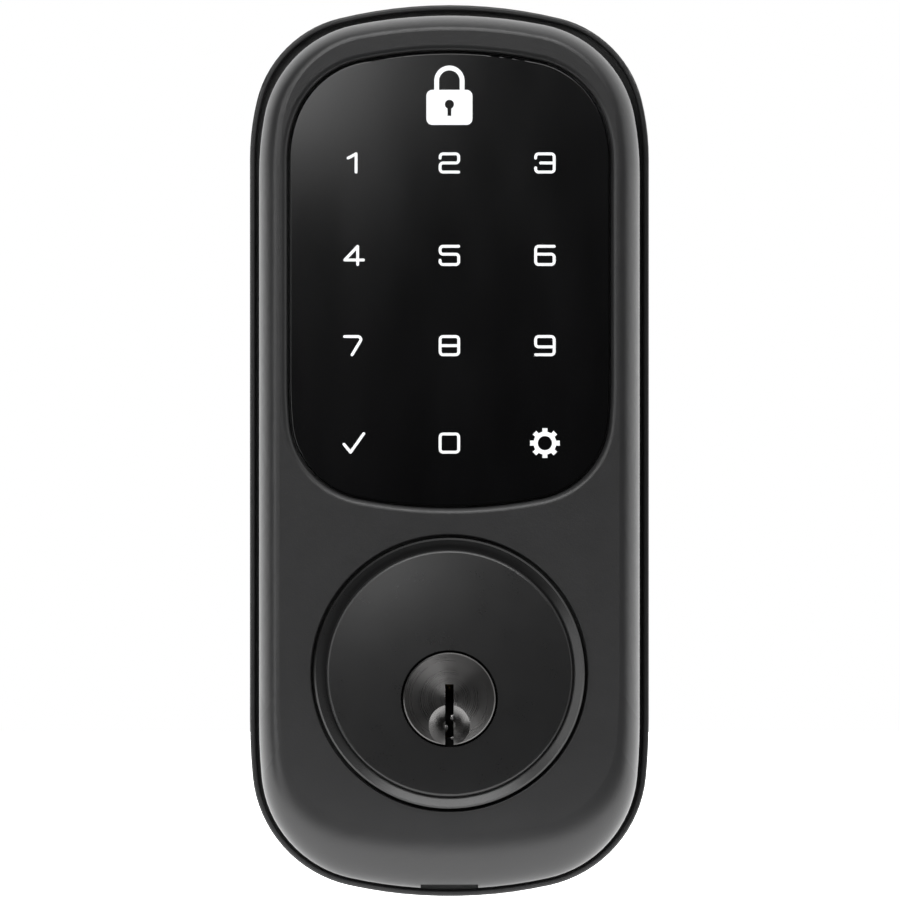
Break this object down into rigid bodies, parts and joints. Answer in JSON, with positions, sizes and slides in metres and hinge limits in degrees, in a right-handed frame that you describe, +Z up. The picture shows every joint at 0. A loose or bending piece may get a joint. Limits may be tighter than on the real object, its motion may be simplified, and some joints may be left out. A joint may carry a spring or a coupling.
{
  "type": "keypad smart lock",
  "caption": "Touchscreen keypad deadbolt lock: outdoor unit with key cylinder, indoor motor unit with thumbturn, joined through the door by tailpiece, bolts and cable.",
  "frame": {"origin": "on the key plug's axis (the door's cross-bore axis) at the door's outside face", "axes": "+X to the right and +Z up as seen from outdoors, +Y into the door towards the room"},
  "size_m": [0.066, 0.1206, 0.1474],
  "materials": {
    "front_escutcheon": "satin black paint on cast metal",
    "touchscreen_lens": "gloss black",
    "keypad_legends": "white print, backlit",
    "lock_icon": "white print, backlit",
    "lens_seal": "matte foam tape",
    "light_guide": "clear acrylic",
    "keypad_circuit_board": "green solder mask",
    "keypad_board_parts": "black packages",
    "keypad_board_screws": "zinc plated",
    "backlight_leds": "white packages",
    "exterior_gasket": "closed-cell foam",
    "exterior_backplate": "satin black paint",
    "backplate_screws": "zinc plated",
    "keypad_cable": "black jacket",
    "cable_connectors": "natural nylon",
    "cable_grommet": "matte rubber",
    "cylinder_collar": "satin black paint on cast metal",
    "cylinder_body": "machined",
    "chamber_cap": "machined",
    "cylinder_screws": "zinc plated",
    "key_plug": "turned, dark plated",
    "key_pin_1": "turned",
    "key_pin_2": "turned",
    "key_pin_3": "turned",
    "key_pin_4": "turned",
    "key_pin_5": "turned",
    "driver_pin_1": "turned",
    "driver_pin_2": "turned",
    "driver_pin_3": "turned",
    "driver_pin_4": "turned",
    "driver_pin_5": "turned",
    "pin_spring_1": "bright wire",
    "pin_spring_2": "bright wire",
    "pin_spring_3": "bright wire",
    "pin_spring_4": "bright wire",
    "pin_spring_5": "bright wire",
    "plug_cap": "machined",
    "tailpiece": "zinc plated",
    "mounting_plate": "zinc plated sheet",
    "through_bolts": "zinc plated",
    "interior_chassis": "moulded, fine grain",
    "chassis_screws": "zinc plated",
    "main_circuit_board": "green solder mask",
    "main_board_parts": "black packages",
    "radio_module": "tinned can",
    "reset_button": "red",
    "batteries": "printed sleeve",
    "battery_springs": "nickel plated",
    "battery_contacts": "nickel plated",
    "output_gear": "natural acetal",
    "idler_gear": "natural acetal",
    "idler_axle": "ground",
    "motor_pinion": "machined",
    "motor": "drawn can",
    "gear_cover": "zinc plated sheet",
    "gear_cover_screws": "zinc plated",
    "thumbturn": "satin black paint",
    "retaining_clip": "spring steel",
    "interior_cover": "moulded, fine grain",
    "battery_cover": "moulded, fine grain"
  },
  "bodies": {
    "frame": {"front_escutcheon": "front_escutcheon", "touchscreen_lens": "touchscreen_lens", "keypad_legends": "keypad_legends", "lock_icon": "lock_icon", "lens_seal": "lens_seal", "light_guide": "light_guide", "keypad_circuit_board": "keypad_circuit_board", "keypad_board_parts": "keypad_board_parts", "keypad_board_screws": "keypad_board_screws", "backlight_leds": "backlight_leds", "exterior_gasket": "exterior_gasket", "exterior_backplate": "exterior_backplate", "backplate_screws": "backplate_screws", "keypad_cable": "keypad_cable", "cable_connectors": "cable_connectors", "cable_grommet": "cable_grommet", "cylinder_collar": "cylinder_collar", "cylinder_body": "cylinder_body", "chamber_cap": "chamber_cap", "cylinder_screws": "cylinder_screws", "pin_spring_1": "pin_spring_1", "pin_spring_2": "pin_spring_2", "pin_spring_3": "pin_spring_3", "pin_spring_4": "pin_spring_4", "pin_spring_5": "pin_spring_5", "mounting_plate": "mounting_plate", "through_bolts": "through_bolts", "interior_chassis": "interior_chassis", "chassis_screws": "chassis_screws", "main_circuit_board": "main_circuit_board", "main_board_parts": "main_board_parts", "radio_module": "radio_module", "batteries": "batteries", "battery_springs": "battery_springs", "battery_contacts": "battery_contacts", "idler_axle": "idler_axle", "motor": "motor", "gear_cover": "gear_cover", "gear_cover_screws": "gear_cover_screws", "interior_cover": "interior_cover"},
    "thumbturn": {"thumbturn": "thumbturn", "output_gear": "output_gear", "retaining_clip": "retaining_clip"},
    "key_plug": {"key_plug": "key_plug", "plug_cap": "plug_cap"},
    "tailpiece": {"tailpiece": "tailpiece"},
    "idler": {"idler_gear": "idler_gear"},
    "pinion": {"motor_pinion": "motor_pinion"},
    "battery_cover": {"battery_cover": "battery_cover"},
    "reset_button": {"reset_button": "reset_button"},
    "key_pin_1": {"key_pin_1": "key_pin_1"},
    "driver_pin_1": {"driver_pin_1": "driver_pin_1"},
    "key_pin_2": {"key_pin_2": "key_pin_2"},
    "driver_pin_2": {"driver_pin_2": "driver_pin_2"},
    "key_pin_3": {"key_pin_3": "key_pin_3"},
    "driver_pin_3": {"driver_pin_3": "driver_pin_3"},
    "key_pin_4": {"key_pin_4": "key_pin_4"},
    "driver_pin_4": {"driver_pin_4": "driver_pin_4"},
    "key_pin_5": {"key_pin_5": "key_pin_5"},
    "driver_pin_5": {"driver_pin_5": "driver_pin_5"}
  },
  "joints": [
    {"name": "thumbturn_turn", "type": "hinge", "parent": "frame", "child": "thumbturn", "pos_m": [0, 0.078, 0], "axis": [0, 1, 0], "range_deg": [0, 90]},
    {"name": "plug_turn", "type": "hinge", "parent": "frame", "child": "key_plug", "pos_m": [0, -0.0246, 0], "axis": [0, 1, 0], "range_deg": [-90, 90]},
    {"name": "tailpiece_turn", "type": "hinge", "parent": "frame", "child": "tailpiece", "pos_m": [0, 0.01, 0], "axis": [0, 1, 0], "range_deg": [0, 90]},
    {"name": "idler_spin", "type": "hinge", "parent": "frame", "child": "idler", "pos_m": [0.01434, 0.0525, 0.01721], "axis": [0, 1, 0], "range_deg": [-331, 1]},
    {"name": "pinion_spin", "type": "hinge", "parent": "frame", "child": "pinion", "pos_m": [-0.00306, 0.055, 0.02532], "axis": [0, 1, 0], "range_deg": [-1, 991]},
    {"name": "battery_cover_slide", "type": "slide", "parent": "frame", "child": "battery_cover", "axis": [0, 0, 1], "range_m": [0, 0.08]},
    {"name": "reset_button_press", "type": "slide", "parent": "frame", "child": "reset_button", "axis": [0, -1, 0], "range_m": [0, 0.0008], "stiffness_N_per_m": 400, "springref_m": -0.0002},
    {"name": "key_pin_1_drop", "type": "slide", "parent": "key_plug", "child": "key_pin_1", "axis": [0, 0, 1], "range_m": [-0.0035, 0]},
    {"name": "driver_pin_1_lift", "type": "slide", "parent": "frame", "child": "driver_pin_1", "axis": [0, 0, 1], "range_m": [0, 0.003], "stiffness_N_per_m": 120, "springref_m": -0.003, "deforming": ["pin_spring_1"]},
    {"name": "key_pin_2_drop", "type": "slide", "parent": "key_plug", "child": "key_pin_2", "axis": [0, 0, 1], "range_m": [-0.0023, 0]},
    {"name": "driver_pin_2_lift", "type": "slide", "parent": "frame", "child": "driver_pin_2", "axis": [0, 0, 1], "range_m": [0, 0.003], "stiffness_N_per_m": 120, "springref_m": -0.003, "deforming": ["pin_spring_2"]},
    {"name": "key_pin_3_drop", "type": "slide", "parent": "key_plug", "child": "key_pin_3", "axis": [0, 0, 1], "range_m": [-0.0031, 0]},
    {"name": "driver_pin_3_lift", "type": "slide", "parent": "frame", "child": "driver_pin_3", "axis": [0, 0, 1], "range_m": [0, 0.003], "stiffness_N_per_m": 120, "springref_m": -0.003, "deforming": ["pin_spring_3"]},
    {"name": "key_pin_4_drop", "type": "slide", "parent": "key_plug", "child": "key_pin_4", "axis": [0, 0, 1], "range_m": [-0.0013, 0]},
    {"name": "driver_pin_4_lift", "type": "slide", "parent": "frame", "child": "driver_pin_4", "axis": [0, 0, 1], "range_m": [0, 0.003], "stiffness_N_per_m": 120, "springref_m": -0.003, "deforming": ["pin_spring_4"]},
    {"name": "key_pin_5_drop", "type": "slide", "parent": "key_plug", "child": "key_pin_5", "axis": [0, 0, 1], "range_m": [-0.0027, 0]},
    {"name": "driver_pin_5_lift", "type": "slide", "parent": "frame", "child": "driver_pin_5", "axis": [0, 0, 1], "range_m": [0, 0.003], "stiffness_N_per_m": 120, "springref_m": -0.003, "deforming": ["pin_spring_5"]}
  ],
  "couplings": [
    {"joint": "tailpiece_turn", "follows": "thumbturn_turn", "ratio": 1},
    {"joint": "idler_spin", "follows": "thumbturn_turn", "ratio": -3.6667},
    {"joint": "pinion_spin", "follows": "thumbturn_turn", "ratio": 11}
  ]
}
